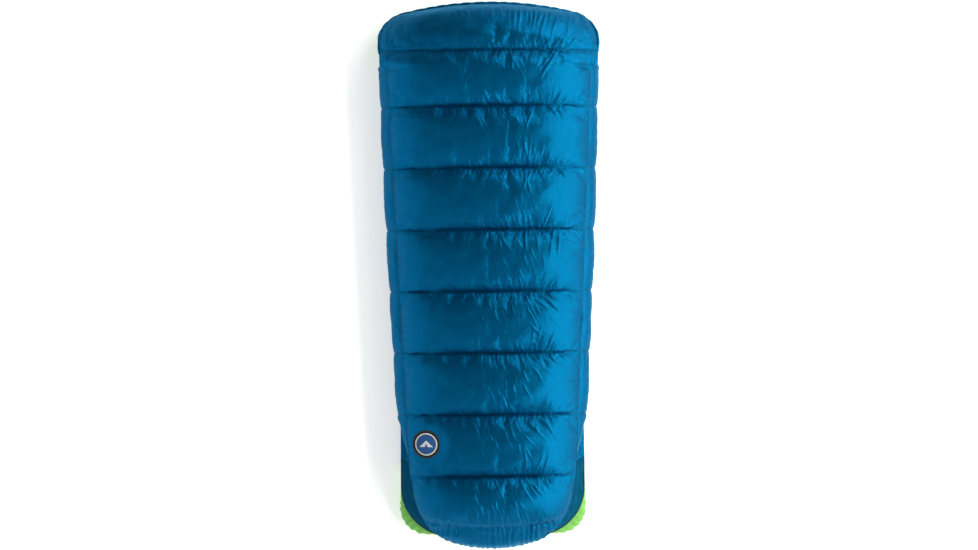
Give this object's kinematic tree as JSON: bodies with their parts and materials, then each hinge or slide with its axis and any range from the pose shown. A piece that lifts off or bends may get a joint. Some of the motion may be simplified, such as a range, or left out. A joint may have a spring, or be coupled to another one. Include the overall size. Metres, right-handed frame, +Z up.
{
  "type": "camp quilt",
  "caption": "Baffled down camp quilt with a rounded head, folded side wings, a closed foot and a stretch pocket for a sleeping pad.",
  "frame": {"origin": "on the ground, in the middle of the quilt's footprint", "axes": "+Y towards the head, +X across to the quilt's right seen from above, +Z up from the ground"},
  "size_m": [0.755, 1.8501, 0.1924],
  "materials": {
    "shell_nylon": "glossy calendered nylon",
    "lining_nylon": "satin nylon",
    "down": "loose down clusters",
    "baffle_mesh": "fine netting",
    "piping_tape": "satin tape",
    "binding_tape": "woven tape",
    "webbing": "woven strap",
    "stretch_green": "stretch knit",
    "panel_blue": "satin nylon",
    "elastic": "braided elastic",
    "cord": "braided cord",
    "lock_plastic": "moulded, satin",
    "plunger_plastic": "moulded, satin",
    "spring_steel": "bright wire",
    "patch_cloth": "twill",
    "patch_thread": "merrowed thread"
  },
  "bodies": {
    "root": {"baffle_wall_1": "baffle_mesh", "baffle_wall_2": "baffle_mesh", "baffle_wall_3": "baffle_mesh", "baffle_wall_4": "baffle_mesh", "baffle_wall_5": "baffle_mesh", "baffle_wall_6": "baffle_mesh", "baffle_wall_7": "baffle_mesh", "baffle_wall_8": "baffle_mesh", "down_fill_1": "down", "down_fill_2": "down", "down_fill_3": "down", "down_fill_4": "down", "down_fill_5": "down", "down_fill_6": "down", "down_fill_7": "down", "down_fill_8": "down", "down_fill_9": "down", "foot_elastic_cord": "elastic", "foot_hem": "shell_nylon", "head_drawcord": "cord", "head_hem": "shell_nylon", "pad_pocket_base": "stretch_green", "pad_pocket_elastic": "elastic", "pad_pocket_panel": "panel_blue", "patch_face": "patch_cloth", "patch_rim": "patch_thread", "seam_piping_left": "piping_tape", "seam_piping_right": "piping_tape", "top_lining": "lining_nylon", "top_shell": "shell_nylon"},
    "left_side": {"side_shell_left": "shell_nylon", "side_fill_left": "down", "side_lining_left": "lining_nylon", "wing_piping_left": "piping_tape"},
    "left_wing": {"wing_shell_left": "shell_nylon", "wing_fill_left": "down", "wing_lining_left": "lining_nylon", "wing_binding_left": "binding_tape", "hand_pocket_left": "lining_nylon"},
    "left_loop_head": {"tie_loop_head_left": "webbing"},
    "left_loop_mid": {"tie_loop_mid_left": "webbing"},
    "left_loop_foot": {"tie_loop_foot_left": "webbing"},
    "right_side": {"side_shell_right": "shell_nylon", "side_fill_right": "down", "side_lining_right": "lining_nylon", "wing_piping_right": "piping_tape"},
    "right_wing": {"wing_shell_right": "shell_nylon", "wing_fill_right": "down", "wing_lining_right": "lining_nylon", "wing_binding_right": "binding_tape", "hand_pocket_right": "lining_nylon"},
    "right_loop_head": {"tie_loop_head_right": "webbing"},
    "right_loop_mid": {"tie_loop_mid_right": "webbing"},
    "right_loop_foot": {"tie_loop_foot_right": "webbing"},
    "cord_lock": {"cord_lock_body": "lock_plastic", "cord_lock_spring": "spring_steel"},
    "lock_button": {"cord_lock_plunger": "plunger_plastic"}
  },
  "joints": [
    {"name": "left_side_unfold", "type": "hinge", "parent": "root", "child": "left_side", "pos_m": [-0.31178, 0, 0.11], "axis": [-0.0465, 0.9989, 0], "range_deg": [0, 90]},
    {"name": "left_wing_unfold", "type": "hinge", "parent": "left_side", "child": "left_wing", "pos_m": [-0.31178, 0, 0.014], "axis": [-0.0465, 0.9989, 0], "range_deg": [0, 90]},
    {"name": "left_loop_head_flap", "type": "hinge", "parent": "left_wing", "child": "left_loop_head", "pos_m": [-0.04061, 0.56, 0.005], "axis": [-0.0179, -0.9998, 0], "range_deg": [-80, 80]},
    {"name": "left_loop_mid_flap", "type": "hinge", "parent": "left_wing", "child": "left_loop_mid", "pos_m": [-0.04972, 0.05, 0.005], "axis": [-0.0179, -0.9998, 0], "range_deg": [-80, 80]},
    {"name": "left_loop_foot_flap", "type": "hinge", "parent": "left_wing", "child": "left_loop_foot", "pos_m": [-0.05901, -0.47, 0.005], "axis": [-0.0179, -0.9998, 0], "range_deg": [-80, 80]},
    {"name": "right_side_unfold", "type": "hinge", "parent": "root", "child": "right_side", "pos_m": [0.31178, 0, 0.11], "axis": [-0.0465, -0.9989, 0], "range_deg": [0, 90]},
    {"name": "right_wing_unfold", "type": "hinge", "parent": "right_side", "child": "right_wing", "pos_m": [0.31178, 0, 0.014], "axis": [-0.0465, -0.9989, 0], "range_deg": [0, 90]},
    {"name": "right_loop_head_flap", "type": "hinge", "parent": "right_wing", "child": "right_loop_head", "pos_m": [0.04061, 0.56, 0.005], "axis": [-0.0179, 0.9998, 0], "range_deg": [-80, 80]},
    {"name": "right_loop_mid_flap", "type": "hinge", "parent": "right_wing", "child": "right_loop_mid", "pos_m": [0.04972, 0.05, 0.005], "axis": [-0.0179, 0.9998, 0], "range_deg": [-80, 80]},
    {"name": "right_loop_foot_flap", "type": "hinge", "parent": "right_wing", "child": "right_loop_foot", "pos_m": [0.05901, -0.47, 0.005], "axis": [-0.0179, 0.9998, 0], "range_deg": [-80, 80]},
    {"name": "cord_lock_slide", "type": "slide", "parent": "root", "child": "cord_lock", "axis": [0, -1, 0], "range_m": [0, 0.07]},
    {"name": "lock_button_press", "type": "slide", "parent": "cord_lock", "child": "lock_button", "axis": [-1, 0, 0], "range_m": [0, 0.004], "stiffness_N_per_m": 600, "deforming": ["cord_lock_spring"]}
  ],
  "couplings": [
    {"joint": "left_wing_unfold", "follows": "left_side_unfold", "ratio": 1},
    {"joint": "right_wing_unfold", "follows": "right_side_unfold", "ratio": 1}
  ]
}
